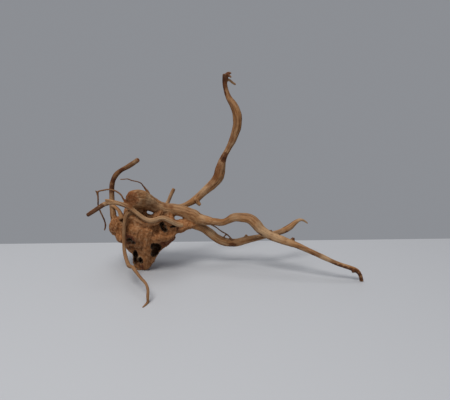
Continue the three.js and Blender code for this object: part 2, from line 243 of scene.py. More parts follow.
# %% Small helpers for building node trees
def new_tree(name, inputs):
    """A Geometry Nodes group that takes and gives geometry, with named inputs for its sizes."""
    tree = bpy.data.node_groups.new(name, "GeometryNodeTree")
    tree.interface.new_socket("Geometry", in_out="INPUT", socket_type="NodeSocketGeometry")
    for label, (kind, value) in inputs.items():
        socket = tree.interface.new_socket(label, in_out="INPUT", socket_type=kind)
        if value is not None:
            socket.default_value = value
    tree.interface.new_socket("Geometry", in_out="OUTPUT", socket_type="NodeSocketGeometry")
    entry = tree.nodes.new("NodeGroupInput")
    return tree, entry.outputs


def add(tree, kind, feeds=None, **settings):
    """Adds a node, sets it up, and feeds its inputs with values or with other nodes' outputs."""
    node = tree.nodes.new(kind)
    for setting, value in settings.items():
        setattr(node, setting, value)
    for label, value in (feeds or {}).items():
        socket = node.inputs[label]
        if isinstance(value, bpy.types.NodeSocket):
            tree.links.new(value, socket)
        else:
            socket.default_value = value
    return node


def maths(tree, operation, *values):
    """A Math node, fed in order."""
    return add(tree, "ShaderNodeMath", dict(enumerate(values)), operation=operation).outputs[0]


def finish_tree(tree, geometry, finish=None):
    """Links the last geometry to the output, as real geometry with its finish where one is given."""
    if finish is not None:
        real = add(tree, "GeometryNodeRealizeInstances", {"Geometry": geometry})
        geometry = add(tree, "GeometryNodeSetMaterial", {
            "Geometry": real.outputs[0], "Material": finish}).outputs[0]
    tree.links.new(geometry, tree.nodes.new("NodeGroupOutput").inputs[0])


FLOAT, WHOLE = "NodeSocketFloat", "NodeSocketInt"
OBJECT, FINISH = "NodeSocketObject", "NodeSocketMaterial"
weathered_wood = bpy.data.materials.new("weathered_wood")  # its nodes are made further down

# %% Sweeping a limb along its route
sweep, given = new_tree("sweep_limbs", {"Step": (FLOAT, 1.5 * MM), "Sides": (WHOLE, 20)})
line = add(sweep, "GeometryNodeMeshToCurve", {"Mesh": given["Geometry"]})
smooth = add(sweep, "GeometryNodeCurveSplineType", {"Curve": line.outputs[0]},
             spline_type="CATMULL_ROM")
evenly = add(sweep, "GeometryNodeResampleCurve", {"Curve": smooth.outputs[0], "Length": given["Step"]},
             mode="LENGTH")
ring = add(sweep, "GeometryNodeCurvePrimitiveCircle", {"Resolution": given["Sides"], "Radius": 1.0})
thick = add(sweep, "GeometryNodeInputNamedAttribute", {"Name": "thickness"}, data_type="FLOAT")
tube = add(sweep, "GeometryNodeCurveToMesh", {
    "Curve": evenly.outputs[0], "Profile Curve": ring.outputs[0],
    "Scale": thick.outputs["Attribute"], "Fill Caps": True})
finish_tree(sweep, tube.outputs[0])
print("sweep_limbs:", len(sweep.nodes), "nodes")

# %% Fusing neighbours with a fillet
fuse, given = new_tree("fuse_wood", {"Voxel": (FLOAT, 1 * MM), "Fillet": (FLOAT, 2 * MM)})
cells = maths(fuse, "ADD", maths(fuse, "DIVIDE", given["Fillet"], given["Voxel"]), 4.0)
field = add(fuse, "GeometryNodeMeshToSDFGrid", {
    "Mesh": given["Geometry"], "Voxel Size": given["Voxel"], "Band Width": cells})
grown = add(fuse, "GeometryNodeGridToMesh", {"Grid": field.outputs[0], "Threshold": given["Fillet"]})
field = add(fuse, "GeometryNodeMeshToSDFGrid", {
    "Mesh": grown.outputs[0], "Voxel Size": given["Voxel"], "Band Width": cells})
inward = maths(fuse, "MULTIPLY", given["Fillet"], -1.0)
shrunk = add(fuse, "GeometryNodeGridToMesh", {"Grid": field.outputs[0], "Threshold": inward})
finish_tree(fuse, shrunk.outputs[0])
print("fuse_wood:", len(fuse.nodes), "nodes")

# %% The whole root: burl first, then the limbs, then the hollows cut out
FLOOR_WIDTH, FLOOR_DEPTH = 1.2, 0.2  # metres of block cut away under the root
grow, given = new_tree("grow_root", {
    "Strands": (OBJECT, None), "Lumps": (OBJECT, None), "Hollows": (OBJECT, None),
    "Voxel": (FLOAT, 0.8 * MM), "Burl Fillet": (FLOAT, 3.5 * MM), "Limb Fillet": (FLOAT, 1.4 * MM),
    "Finish": (FINISH, None)})


def called(tree, group, feeds):
    """Uses one of the groups made above inside another."""
    node = tree.nodes.new("GeometryNodeGroup")
    node.node_tree = group
    for label, value in feeds.items():
        tree.links.new(value, node.inputs[label])
    return node.outputs[0]


def shape_of(tree, thing):
    """The geometry of an object that was handed in."""
    return add(tree, "GeometryNodeObjectInfo", {"Object": thing}).outputs["Geometry"]


def joined(tree, *shapes):
    node = tree.nodes.new("GeometryNodeJoinGeometry")
    for shape in shapes:
        tree.links.new(shape, node.inputs[0])
    return node.outputs[0]


fingers = called(grow, sweep, {"Geometry": shape_of(grow, given["Strands"])})
burl = called(grow, fuse, {"Geometry": joined(grow, fingers, shape_of(grow, given["Lumps"])),
                           "Voxel": given["Voxel"], "Fillet": given["Burl Fillet"]})
branches = called(grow, sweep, {"Geometry": given["Geometry"]})
whole = called(grow, fuse, {"Geometry": joined(grow, burl, branches), "Voxel": given["Voxel"],
                            "Fillet": given["Limb Fillet"]})
under = add(grow, "GeometryNodeMeshCube", {"Size": (FLOOR_WIDTH, FLOOR_WIDTH, FLOOR_DEPTH)})
under = add(grow, "GeometryNodeTransform", {
    "Geometry": under.outputs[0], "Translation": (0, 0, -FLOOR_DEPTH / 2)})
wood_field = add(grow, "GeometryNodeMeshToSDFGrid", {"Mesh": whole, "Voxel Size": given["Voxel"]})
for cutter in (shape_of(grow, given["Hollows"]), under.outputs[0]):
    cut_field = add(grow, "GeometryNodeMeshToSDFGrid", {"Mesh": cutter, "Voxel Size": given["Voxel"]})
    cut = add(grow, "GeometryNodeSDFGridBoolean", operation="DIFFERENCE")
    grow.links.new(wood_field.outputs[0], cut.inputs[0])
    grow.links.new(cut_field.outputs[0], cut.inputs[1])
    wood_field = cut
skin = add(grow, "GeometryNodeGridToMesh", {"Grid": wood_field.outputs[0], "Threshold": 0.0})
finish_tree(grow, skin.outputs[0], given["Finish"])
print("grow_root:", len(grow.nodes), "nodes")


# %% Running a tree and keeping its plain mesh
def new_piece(name, mesh):
    piece = bpy.data.objects.new(name, mesh)
    bpy.context.scene.collection.objects.link(piece)
    return piece


def run_tree(piece, tree, values):
    """Puts a tree on a piece, sets its inputs by their identifiers, and keeps only the result."""
    modifier = piece.modifiers.new(tree.name, "NODES")
    modifier.node_group = tree
    for socket in tree.interface.items_tree:
        if socket.in_out == "INPUT" and socket.name in values:
            modifier[socket.identifier] = values[socket.name]
    seen = piece.evaluated_get(bpy.context.evaluated_depsgraph_get())
    result = bpy.data.meshes.new_from_object(seen)
    piece.modifiers.remove(modifier)
    piece.data = result
    return result


strand_lines = new_piece("strand_lines", strand_routes)
lumps = new_piece("lumps", lump_mesh)
hollows = new_piece("hollows", hollow_mesh)
root_wood = new_piece("root_wood", limb_routes)
run_tree(root_wood, grow, {
    "Strands": strand_lines, "Lumps": lumps, "Hollows": hollows, "Finish": weathered_wood})
for helper in (strand_lines, lumps, hollows):
    bpy.data.objects.remove(helper)
print("skin:", len(root_wood.data.vertices), "vertices")

# %% [markdown]
# ## Which way the grain runs
#
# Wood has a direction: its fibres follow the limb, and so do its cracks, flutes and streaks of colour.
# A texture that ignores this looks like stone. So every point of the skin is given three fibre
# coordinates: two across the limb that it belongs to, and one along it. A pattern that reads them, and
# is squeezed across and drawn out along, then follows each limb round its bends.
#
# The limb that a point belongs to is the one whose bark is nearest, not the one whose core is nearest,
# because a thin root lying on a thick one would otherwise claim its surface.


# %% Walking a route in small steps
GRAIN_STEP = 1.6  # mm between steps along a route
FIRST_SIDE = (0.3, 0.5, 0.8)  # any direction that no route starts along


def walk(route):
    """Points, radii and a frame that doesn't twist, at even steps along a route's smooth curve."""
    knots = np.array(route, float)
    ends = np.vstack([2 * knots[0] - knots[1], knots, 2 * knots[-1] - knots[-2]])
    stretch = []
    for before, start, stop, after in zip(ends, ends[1:], ends[2:], ends[3:]):
        count = max(2, int(np.linalg.norm((stop - start)[:3]) / GRAIN_STEP))
        t = (np.arange(count) / count)[:, None]
        stretch.append(0.5 * (2 * start + (stop - before) * t
                              + (2 * before - 5 * start + 4 * stop - after) * t ** 2
                              + (3 * start - before - 3 * stop + after) * t ** 3))
    path = np.vstack(stretch + [knots[-1:]])
    ahead = np.gradient(path[:, :3], axis=0)
    ahead /= np.linalg.norm(ahead, axis=1)[:, None]
    side = np.cross(ahead[0], FIRST_SIDE)
    sides = []
    for direction in ahead:
        side = side - direction * side.dot(direction)
        side = side / np.linalg.norm(side)
        sides.append(side)
    steps = np.linalg.norm(np.diff(path[:, :3], axis=0), axis=1)
    length = np.concatenate([[0], np.cumsum(steps)])
    return path[:, :3], path[:, 3], ahead, np.array(sides), length


walks = [walk(route) for route in {**LIMBS, **STRANDS}.values()]
paths, radii, headings, sides, lengths = zip(*walks)
cores, ahead, across = np.vstack(paths), np.vstack(headings), np.vstack(sides)
bark = np.concatenate(radii)
first_step = np.cumsum([0] + [len(r) for r in radii])[:-1]
# Each limb's lengthwise count starts somewhere else, so that no two limbs have the same streaks.
MOST_SHIFT = 400
shift = np.random.default_rng(4).uniform(0, MOST_SHIFT, len(walks))
along = np.concatenate([length + s for length, s in zip(lengths, shift)])
print("steps along all routes:", len(bark))


# %% Measuring the skin
def skin_points(mesh):
    points = np.empty(len(mesh.vertices) * 3)
    mesh.vertices.foreach_get("co", points)
    return points.reshape(-1, 3) / MM


def ease(value, low, high):
    """0 below low, 1 above high, and a smooth step between them."""
    t = np.clip((value - low) / (high - low), 0, 1)
    return t * t * (3 - 2 * t)


def to_balls(points, balls):
    """Distance from each point to the nearest of some ellipsoids, roughly, in millimetres."""
    nearest = np.full(len(points), 1e3)
    for middle, radii in balls:
        offset = (points - middle) / radii
        reach = np.linalg.norm(offset, axis=1)
        slope = np.linalg.norm(offset / radii, axis=1) + 1e-9
        nearest = np.minimum(nearest, reach * (reach - 1) / slope)
    return nearest


BATCH = 6000  # points measured at a time, to save memory


def fibre_coordinates(points):
    """Fibre coordinates, the limb's girth, distance to each route's bark, and lead over the next."""
    fibre = np.empty((len(points), 3))
    girth = np.empty(len(points))
    gaps = np.empty((len(points), len(walks)))
    for start in range(0, len(points), BATCH):
        batch = slice(start, start + BATCH)
        some = points[batch]
        square = (some ** 2).sum(1)[:, None] + (cores ** 2).sum(1) - 2 * some @ cores.T
        gap = np.sqrt(np.maximum(square, 0)) - bark
        step = gap.argmin(1)
        offset = some - cores[step]
        third = np.cross(ahead[step], across[step])
        fibre[batch, 0] = (offset * across[step]).sum(1)
        fibre[batch, 1] = (offset * third).sum(1)
        fibre[batch, 2] = along[step] + (offset * ahead[step]).sum(1)
        girth[batch] = bark[step]
        gaps[batch] = np.minimum.reduceat(gap, first_step, axis=1)
    ranked = np.partition(gaps, 1, axis=1)
    return fibre, girth, gaps, ranked[:, 1] - ranked[:, 0]


def keep(mesh, name, values):
    """Stores one number or one vector for each point of the skin."""
    kind, field = ("FLOAT", "value") if values.ndim == 1 else ("FLOAT_VECTOR", "vector")
    attribute = mesh.attributes.get(name) or mesh.attributes.new(name, kind, "POINT")
    attribute.data.foreach_set(field, values.astype(np.float32).ravel())


KNOB = ((-36, 0, 70), (18, 24, 20))  # the crinkled knob


def lay_grain(mesh):
    """Stores the fibre coordinates, and how gnarled the wood is."""
    points = skin_points(mesh)
    fibre, girth, gaps, lead = fibre_coordinates(points)
    limb_gap = gaps[:, :len(LIMBS)].min(1)
    burl_gap = np.minimum(gaps[:, len(LIMBS):].min(1), to_balls(points, LUMPS))
    keep(mesh, "fibre", fibre)
    keep(mesh, "girth", girth)
    keep(mesh, "seam", ease(lead, 0, 3))
    keep(mesh, "gnarl", ease(limb_gap - burl_gap, -1.5, 2.5))
    keep(mesh, "knob", ease(-to_balls(points, [KNOB]), -4, 2))
    return points, gaps


lay_grain(root_wood.data)
print("grain laid on", len(root_wood.data.vertices), "points")

# %% [markdown]
# ## Relief
#
# Dry root wood is never smooth. Its limbs swell and shrink, flutes run along them, and the burl is
# lumpy, folded and pitted. Relief like this can be faked with bump, but bump leaves the outline smooth,
# and the meshes are used on their own too. So the large and middle relief moves the skin itself. What
# runs along a limb comes from noises that read the fibre coordinates, and what swells or wrinkles the
# wood comes from noises that read the place. Only the finest grain is left to the material.

# %% The relief's own inputs, and a few more helpers
relief, given = new_tree("wood_relief", {
    "Swell": (FLOAT, 0.26), "Flutes": (FLOAT, 0.32), "Grooves": (FLOAT, 0.04),
    "Lumps": (FLOAT, 4.2 * MM), "Roots": (FLOAT, 1.0 * MM), "Crinkles": (FLOAT, 0.45 * MM),
    "Folds": (FLOAT, 1.8 * MM), "Fine": (FLOAT, 0.35 * MM), "Finish": (FINISH, None)})


def stored(tree, name, kind="FLOAT"):
    return add(tree, "GeometryNodeInputNamedAttribute", {"Name": name}, data_type=kind).outputs[0]


def stretched(tree, vector, across_mm, along_mm):
    """A vector in millimetres, scaled so that one unit is across_mm wide and along_mm long."""
    scale = (1 / across_mm, 1 / across_mm, 1 / along_mm)
    return add(tree, "ShaderNodeVectorMath", {0: vector, 1: scale}, operation="MULTIPLY").outputs[0]


def noise(tree, vector, detail=2.0, kind="FBM"):
    """Noise around zero, from about -0.5 to 0.5."""
    made = add(tree, "ShaderNodeTexNoise", {"Vector": vector, "Scale": 1.0, "Detail": detail},
               noise_dimensions="3D", noise_type=kind)
    return maths(tree, "SUBTRACT", made.outputs[0], 0.5)


def total(tree, *values):
    result = values[0]
    for value in values[1:]:
        result = maths(tree, "ADD", result, value)
    return result


def product(tree, *values):
    result = values[0]
    for value in values[1:]:
        result = maths(tree, "MULTIPLY", result, value)
    return result


def furrow(tree, value, width):
    """1 where a noise crosses zero, falling to 0 at a distance from there: a net of thin lines."""
    return maths(tree, "MAXIMUM", maths(tree, "SUBTRACT", 1.0, maths(
        tree, "DIVIDE", maths(tree, "ABSOLUTE", value), width)), 0.0)


# %% Each kind of relief
fibre = stored(relief, "fibre", "FLOAT_VECTOR")
girth = stored(relief, "girth")
gnarl = stored(relief, "gnarl")
seam = stored(relief, "seam")
place = add(relief, "GeometryNodeInputPosition").outputs[0]
place = add(relief, "ShaderNodeVectorMath", {0: place, "Scale": 1 / MM}, operation="SCALE").outputs[0]

# A thick limb has wide flutes and a thin one has narrow flutes, so widths go by the girth.
flute_width = total(relief, product(relief, girth, 0.42), 0.9)
narrowing = maths(relief, "DIVIDE", 1.0, flute_width)
squeeze = add(relief, "ShaderNodeCombineXYZ", {0: narrowing, 1: narrowing, 2: 1.0}).outputs[0]
by_girth = add(relief, "ShaderNodeVectorMath", {0: stretched(relief, fibre, 1, 30), 1: squeeze},
               operation="MULTIPLY").outputs[0]
bark_mm = product(relief, girth, MM)
limb = maths(relief, "SUBTRACT", 1.0, gnarl)
swell = product(relief, noise(relief, stretched(relief, place, 15, 15)), given["Swell"], bark_mm)
straight = maths(relief, "SUBTRACT", 1.0, product(relief, gnarl, 0.6))
flutes = product(relief, noise(relief, by_girth), given["Flutes"], bark_mm, seam, straight)
grooves = product(relief, furrow(relief, noise(relief, by_girth, 1.0, "HETERO_TERRAIN"), 0.05),
                  given["Grooves"], bark_mm, seam, limb, -1.0)
lumpy = product(relief, noise(relief, stretched(relief, place, 12, 14), 3.0), given["Lumps"], gnarl)
drawn_down = stretched(relief, fibre, 11, 34)
roots = product(relief, total(relief, furrow(relief, noise(relief, drawn_down, 2.0), 0.12), -0.4),
                given["Roots"], gnarl, seam, -1.0)
crinkles = product(relief, furrow(relief, noise(relief, stretched(relief, place, 6, 8), 1.0), 0.07),
                   given["Crinkles"], gnarl, -1.0)
ridges = furrow(relief, noise(relief, stretched(relief, place, 8, 8), 1.5), 0.2)
folds = product(relief, maths(relief, "SUBTRACT", 0.5, ridges), given["Folds"], stored(relief, "knob"))
fine = product(relief, noise(relief, stretched(relief, fibre, 1.6, 12)), given["Fine"], seam)

# %% Moving the skin, but not the flats that it stands on
height = total(relief, swell, flutes, grooves, lumpy, roots, crinkles, folds, fine)
lift = add(relief, "ShaderNodeSeparateXYZ", {0: place}).outputs[2]
clear = add(relief, "ShaderNodeMapRange", {"Value": lift, "From Min": 0.4, "From Max": 3.0})
height = maths(relief, "MULTIPLY", height, clear.outputs[0])
outward = add(relief, "ShaderNodeVectorMath", {
    0: add(relief, "GeometryNodeInputNormal").outputs[0], "Scale": height}, operation="SCALE")
moved = add(relief, "GeometryNodeSetPosition", {
    "Geometry": given["Geometry"], "Offset": outward.outputs[0]})
finish_tree(relief, moved.outputs[0], given["Finish"])
run_tree(root_wood, relief, {"Finish": weathered_wood})
print("wood_relief:", len(relief.nodes), "nodes")

# %% [markdown]
# ## Fewer triangles where the wood is plain
#
# The skin comes from a fine grid, so a smooth stretch of limb has as many faces as a folded knob.
# A Decimate modifier joins faces where they are nearly flat and leaves the detail alone.

# %% Thinning the mesh
MOST_TRIANGLES = 190_000


def triangles_of(mesh):
    return sum(len(face.vertices) - 2 for face in mesh.polygons)


thinner = root_wood.modifiers.new("thinner", "DECIMATE")
thinner.ratio = min(1.0, MOST_TRIANGLES / triangles_of(root_wood.data))
thinned = bpy.data.meshes.new_from_object(
    root_wood.evaluated_get(bpy.context.evaluated_depsgraph_get()))
root_wood.modifiers.remove(thinner)
root_wood.data = thinned
root_wood.data.name = "root_wood"
root_wood.data.shade_smooth()
print("triangles:", triangles_of(root_wood.data))

# %% [markdown]
# ## Stains, sawn ends and painted shade in the creases
#
# Colour on such a root is patchy. Where the bark clung longest the wood is still dark brown, sawn ends
# have gone red-brown, rot and painted shade have blackened the hollows, painted shade darkens every
# crease and the burl's underhung flank, and a highlight is painted on the burl's face. A noise could
# scatter such patches, but these belong to places. So they are listed, stored on the skin as
# masks from 0 to 1, and the material turns the masks into colour.

# %% Places of the marks: (x, y, z), reach, strength
STAINS = [
    ((133, 30, 175), 7, 1.15), ((136, 28, 182), 5.5, 1.0),  # the dark band on the upright
    ((134, 30, 277), 5, 0.7), ((131, 31, 287), 7, 1.0),  # the upright's tip
    ((132, 32, 298), 8, 1.4), ((136, 33, 306), 8, 1.3),
    ((161, 28, 238), 7, 0.4),  # the upright's outer bend
    ((88, 24, 106), 6, 0.5),  # the upright's foot
    ((147, 10, 34), 7, 1.1), ((134, 10, 34), 8, 0.5),  # the knot on the lower arm
    ((222, 9, 52), 5, 0.9), ((236, 13, 57), 4, 0.7),  # under the lower arm's end
    ((181, -26, 80), 5, 0.4), ((188, -26, 66), 7, 0.6), ((205, -30, 60), 6, 0.5),  # under the bend
    ((258, -44, 42), 4.5, 0.8), ((268, -46, 39), 5, 0.9),  # under the long straight stretch
    ((302, -52, 25.5), 5, 1.2), ((309, -53, 23.5), 5.5, 1.25),  # under the upper arm's tip
    ((317, -54, 21), 5.5, 1.25), ((325, -55, 18.5), 5.5, 1.3), ((332, -55.5, 16), 6, 1.3),
    ((338, -55, 12), 4, 1.1), ((342, -54, 4), 4, 1.0),
    ((240, -31, 61.5), 4, 1.1), ((246, -41, 49), 4, 0.7),  # the nub
    ((207, -22, 73), 3.5, 1.1),  # the thorn
    ((-71, -40, 101), 5, 1.2), ((-66, -41, 104.5), 5, 1.0), ((-61, -42, 108), 5, 0.9),  # the strap
    ((-55, -43, 112), 7, 1.0), ((-47, -43, 115.5), 7, 0.9), ((-39, -44, 118), 6, 0.7),
    ((-44, 8, 130), 11, 0.6), ((-41, 8, 146), 7, 0.8), ((-24, 0, 160), 9, 0.7),  # the left limb
    ((-12, -34, 56), 8, 0.8), ((-14, -26, 44), 7, 0.6),  # beside the pit
    ((-6, -20, 20), 9, 0.9),  # between the toes
    ((-56, -28, 112), 10, 0.7), ((-50, -28, 85), 12, 0.8),  # the whisker's drop
    ((78, -2, 66), 9, 0.6), ((60, -18, 74), 8, 0.7),  # where the arms leave the burl
]
RED_AND_SHADED_PLACES = [
    ((117, 30, 148), 12, 1.0), ((121, 29, 161), 11, 1.0), ((108, 30, 135), 8, 0.7),  # the elbow
    ((141, 30, 195), 9, 0.6), ((145, 27, 206), 9, 0.75), ((160, 28, 240), 10, 0.6),  # the upright
    ((141, 29, 275), 9, 0.55), ((134, 32, 288), 12, 0.7),
    ((42, -18, 50), 13, 1.1), ((52, -14, 56), 9, 1.0), ((33, -14, 38), 9, 0.9),  # the underhung flank: painted shade in dark red
    ((-12, -32, 62), 13, 1.0), ((64, -16, 70), 8, 0.6), ((2, -12, 8), 9, 0.7),  # pit, root, foot
    ((40, -3, 106), 5, 0.8), ((51, -3, 105), 4.5, 0.9),  # along the top of the trunk
    ((64, -4, 102.5), 4, 0.5), ((77, -3, 101), 5, 0.4),
    ((0, -28, 106), 9, 0.8), ((-10, -50, 31), 6, 0.8), ((-40, -14, 68), 14, 0.5),  # neck, leg, knob
]
PALE_AND_HIGHLIGHT_PLACES = [
    ((196, -28, 74), 17, 0.9), ((216, -33, 62), 14, 0.7), ((234, -36, 58), 10, 0.5),  # the bend
    ((288, -49, 37), 10, 0.9), ((318, -48, 28), 11, 0.6),  # the upper arm's end
    ((258, 24, 77), 9, 0.8), ((270, 28, 69), 8, 1.2),  # the lower arm's hook
    ((114, 3, 60), 10, 0.8),  # the lower arm's start
    ((20, -27, 124), 12, 0.8), ((60, 0, 105), 14, 0.4),  # the trunk
    ((100, -6, 88), 10, 0.5), ((150, -18, 94), 12, 0.5),  # the upper arm's start
    ((100, 30, 124), 12, 0.6), ((48, 24, 117), 7, 0.6), ((-2, -5, 177), 5, 0.7),  # upper limbs
    ((6, -43, 85), 9, 0.35), ((-1, -20, 24), 6, 1.0),  # a painted highlight on the burl's face, and between its toes
]
SAWN_ENDS = [  # the middle of each cut, and the way it faces
    ((-1, -44, 129), (-0.43, -0.86, 0.25)), ((71, -31, 83), (0.95, 0.25, -0.25)),
    ((-72, -38, 101), (-0.82, 0.1, -0.55)), ((3, -6, 180), (0.78, -0.25, 0.55)),
    ((53, 26, 127), (0.4, 0.35, 0.85)), ((136, 35, 306), (0.1, 0.1, 1.0)),
]


# %% Measures of the skin, and soft-edged places on it
def skin_normals(mesh):
    normals = np.empty(len(mesh.vertices) * 3)
    mesh.vertices.foreach_get("normal", normals)
    return normals.reshape(-1, 3)


def neighbours(mesh):
    """Every edge of the skin, once in each direction, as two lists of points."""
    edges = np.empty(len(mesh.edges) * 2, dtype=np.int64)
    mesh.edges.foreach_get("vertices", edges)
    ends = edges.reshape(-1, 2)
    return np.concatenate([ends[:, 0], ends[:, 1]]), np.concatenate([ends[:, 1], ends[:, 0]])


def smoothed(values, links, rounds):
    """Values averaged with those of their neighbours, over and over."""
    here, there = links
    count = np.bincount(here, minlength=len(values))[:, None]
    columns = values.reshape(len(values), -1)
    for _ in range(rounds):
        sums = [np.bincount(here, column[there], len(values)) for column in columns.T]
        columns = np.stack(sums, 1) / count
    return columns.reshape(values.shape)


def crease_depth(points, normals, links, rounds, around):
    """How much deeper each point lies below the smoothed skin than the points around it do."""
    depth = ((smoothed(points, links, rounds) - points) * normals).sum(1)
    return depth - smoothed(depth, links, around)


def patches(points, places):
    """How strongly some places mark each point: fully in the middle, and hardly beyond their reach."""
    marked = np.zeros(len(points))
    for middle, reach, strength in places:
        away = np.linalg.norm(points - middle, axis=1) / reach
        marked = np.maximum(marked, strength * np.exp(-away ** 2 * 1.2))
    return marked


WIDEST_CUT = 16  # no point of a sawn end is further than this from its middle


def sawn_wood(points, normals):
    """1 on the sawn ends."""
    sawn = np.zeros(len(points))
    for middle, facing in SAWN_ENDS:
        facing = np.array(facing) / np.linalg.norm(facing)
        near = np.linalg.norm(points - middle, axis=1) < WIDEST_CUT
        level = ease((points - middle) @ facing, -3.5, 0)
        sawn = np.maximum(sawn, near * level * ease(normals @ facing, 0.35, 0.95))
    return sawn


# %% Limbs that are pale or dark all along
PALE_LIMBS = {"strap": 1.0, "strap_spur": 1.0, "spike": 0.6, "front_leg": 0.1}
DARK_LIMBS = ("whisker", "whisker_drop", "feeler", "left_limb", "thread", "thread_fork")
LEG_DARKNESS = 0.4


def own_and_rival(gaps, name):
    """Distance to one limb's bark, and to the nearest bark of any other limb or strand."""
    column = list(LIMBS).index(name)
    return gaps[:, column], np.delete(gaps, column, axis=1).min(1)


def pale_limbs(gaps):
    """1 on the limbs that dried palest."""
    pale = np.zeros(len(gaps))
    for name, amount in PALE_LIMBS.items():
        own, rival = own_and_rival(gaps, name)
        pale = np.maximum(pale, amount * ease(rival - own, -1, 1.5))
    return pale


def dark_limbs(points, gaps):
    """1 on the limbs that are still brown, but not on the tan lower half of the left limb."""
    off_burl = ease(gaps[:, len(LIMBS):].min(1), 1, 5)
    dark = np.zeros(len(points))
    for name in DARK_LIMBS:
        own, _ = own_and_rival(gaps, name)
        dark = np.maximum(dark, ease(-own, -2.5, -0.5) * off_burl)
    own, rival = own_and_rival(gaps, "front_leg")
    dark = np.maximum(dark, LEG_DARKNESS * ease(-own, -2, 0) * ease(rival, 0, 3))
    x, y, z = points.T
    low_left = ease(-x, 20, 35) * ease(-z, -140, -115) * ease(y, -15, -5)
    return dark * (1 - low_left)


print("pale all along:", list(PALE_LIMBS), "dark all along:", DARK_LIMBS)


# %% Storing all the masks
CREASE_ROUNDS, CREASE_AROUND = 6, 30  # how far to smooth: for the narrow creases, and around them
BASIN_ROUNDS = 80  # and for the wide hollows


def store_patches(mesh):
    points, gaps = lay_grain(mesh)
    normals, links = skin_normals(mesh), neighbours(mesh)
    crease_shade = crease_depth(points, normals, links, CREASE_ROUNDS, CREASE_AROUND)
    basin_shade = ((smoothed(points, links, BASIN_ROUNDS) - points) * normals).sum(1)
    # The crease and basin masks are painted shade: they darken the creases and the wide hollows.
    keep(mesh, "crease_shade", ease(crease_shade, 0.02, 0.28))
    keep(mesh, "edge", ease(-crease_shade, 0.04, 0.3))
    keep(mesh, "basin_shade", ease(basin_shade, 0.2, 2.6))
    keep(mesh, "stain", patches(points, STAINS))
    keep(mesh, "red_and_shade", patches(points, RED_AND_SHADED_PLACES))
    keep(mesh, "pale_and_highlight", patches(points, PALE_AND_HIGHLIGHT_PLACES))
    keep(mesh, "sawn", sawn_wood(points, normals))
    # Near the hollows this mask is rot and painted shade.
    keep(mesh, "rot_and_shade", ease(-to_balls(points, HOLLOWS), -2.5, -0.2))
    keep(mesh, "pale", pale_limbs(gaps))
    keep(mesh, "dark", dark_limbs(points, gaps))


store_patches(root_wood.data)
print("patches stored:", [a.name for a in root_wood.data.attributes if a.domain == "POINT"])

# %% [markdown]
# ## The wood's finish
#
# Bare, peeled, dull wood, which hardly shines. One flat brown would look like clay, and a ready-made
# wood texture would not follow the limbs. So the colour is worked out in layers, from the widest to the
# finest: tan limbs and a browner burl, streaks and blotches, dark, pale and reddened places with a
# painted highlight on the burl's face and painted shade on its underhung flank, stains, sawn ends, rot
# with painted shade in the hollows, and last painted shade in the creases, the worn ridges and the
# grain. A little bump adds the rest.

# %% Colours of the wood
TAN = (0.30, 0.166, 0.083)
HONEY = (0.285, 0.136, 0.053)
BROWN = (0.095, 0.034, 0.011)
BURL_BROWN = (0.30, 0.119, 0.041)
PALE = (0.47, 0.315, 0.182)
DARK = (0.04, 0.013, 0.006)
DARK_RED_AND_SHADE = (0.10, 0.022, 0.012)
# Dark red, also used as painted shade on the burl's underhung flank.
WARM_BROWN = (0.15, 0.055, 0.019)
STAIN = (0.075, 0.021, 0.007)
SAWN = (0.15, 0.046, 0.013)
# Near-black, for rot and for the painted shade inside the hollows.
BLACK_ROT_AND_SHADE = (0.008, 0.003, 0.002)

weathered_wood.use_nodes = True
board = weathered_wood.node_tree
board.nodes.clear()


def attribute(name, output="Fac"):
    return add(board, "ShaderNodeAttribute", attribute_name=name).outputs[output]


def ramp(value, low, high):
    """Turns a value into a mask: 0 below low, 1 above high."""
    made = add(board, "ShaderNodeMapRange", {"Value": value, "From Min": low, "From Max": high},
               interpolation_type="SMOOTHSTEP")
    return made.outputs[0]


def layer(under, over, mask):
    """Lays one colour over another where the mask says."""
    mix = board.nodes.new("ShaderNodeMix")
    mix.data_type = "RGBA"
    mix.clamp_factor = True
    for socket, value in ((mix.inputs[0], mask), (mix.inputs[6], under), (mix.inputs[7], over)):
        if isinstance(value, bpy.types.NodeSocket):
            board.links.new(value, socket)
        else:
            socket.default_value = (*value, 1.0) if isinstance(value, tuple) else value
    return mix.outputs[2]


def times(*values):
    return product(board, *values)


grain_at = attribute("fibre", "Vector")
object_at = add(board, "ShaderNodeTexCoord").outputs["Object"]
object_at = add(board, "ShaderNodeVectorMath", {0: object_at, "Scale": 1 / MM},
                operation="SCALE").outputs[0]

# %% Patterns
broad = noise(board, stretched(board, object_at, 24, 24), 2.0)
skins = noise(board, stretched(board, grain_at, 6, 48), 3.0)
streaks = noise(board, stretched(board, grain_at, 2.0, 30), 3.0)
threads = noise(board, stretched(board, grain_at, 0.6, 12), 2.0)
blotches = noise(board, stretched(board, object_at, 6, 6), 4.0)
checks = furrow(board, noise(board, stretched(board, grain_at, 2.4, 60), 1.0), 0.012)
gnarled = attribute("gnarl")
straight = maths(board, "SUBTRACT", 1.0, times(gnarled, 0.75))
print("patterns:", len(board.nodes), "nodes")

# %% Layers of colour
# The bare wood of limbs and burl.
colour = layer(TAN, HONEY, ramp(broad, -0.1, 0.12))
colour = layer(colour, BURL_BROWN, times(gnarled, 0.85))
# Streaks along the limbs, and blotches over the burl.
colour = layer(colour, PALE, times(ramp(skins, -0.03, -0.2), straight, 0.5))
colour = layer(colour, BROWN, times(ramp(skins, 0.04, 0.12), straight, 0.6))
colour = layer(colour, BROWN, times(ramp(streaks, 0.02, 0.2), straight, 0.45))
colour = layer(colour, PALE, times(ramp(streaks, -0.04, -0.2), straight, 0.35))
colour = layer(colour, PALE, times(gnarled, ramp(blotches, -0.04, -0.2), 0.3))
colour = layer(colour, BROWN, times(gnarled, ramp(blotches, 0.02, 0.18), 0.5))
